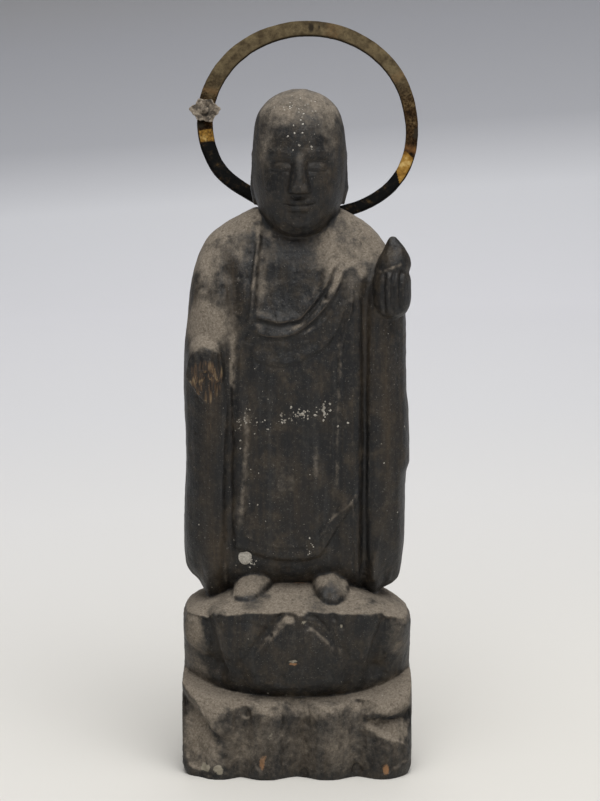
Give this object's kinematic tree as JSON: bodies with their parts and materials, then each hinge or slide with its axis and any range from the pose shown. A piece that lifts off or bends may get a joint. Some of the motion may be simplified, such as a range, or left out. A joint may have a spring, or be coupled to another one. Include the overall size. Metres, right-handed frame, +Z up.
{
  "type": "wooden jizo statue",
  "caption": "Standing robed monk figure in smoke-darkened wood on a lotus and rock base, with a jewel in its left hand and a flat ring halo behind its head.",
  "frame": {"origin": "middle of the base's underside, on the surface it stands on", "axes": "+Z up, -Y the way the figure faces, +X towards the side of the figure's left hand"},
  "size_m": [0.0955, 0.0935, 0.2981],
  "materials": {
    "darkened_wood": "carved, darkened by incense smoke, dusty on its upper faces",
    "gilt_lacquered_wood": "gilt over black lacquer, mostly worn and sooty",
    "dusty_carved_wood": "carved, matt, covered in dust"
  },
  "bodies": {
    "root": {"statue": "darkened_wood", "halo_ring": "gilt_lacquered_wood", "halo_blossom": "dusty_carved_wood"}
  },
  "joints": []
}
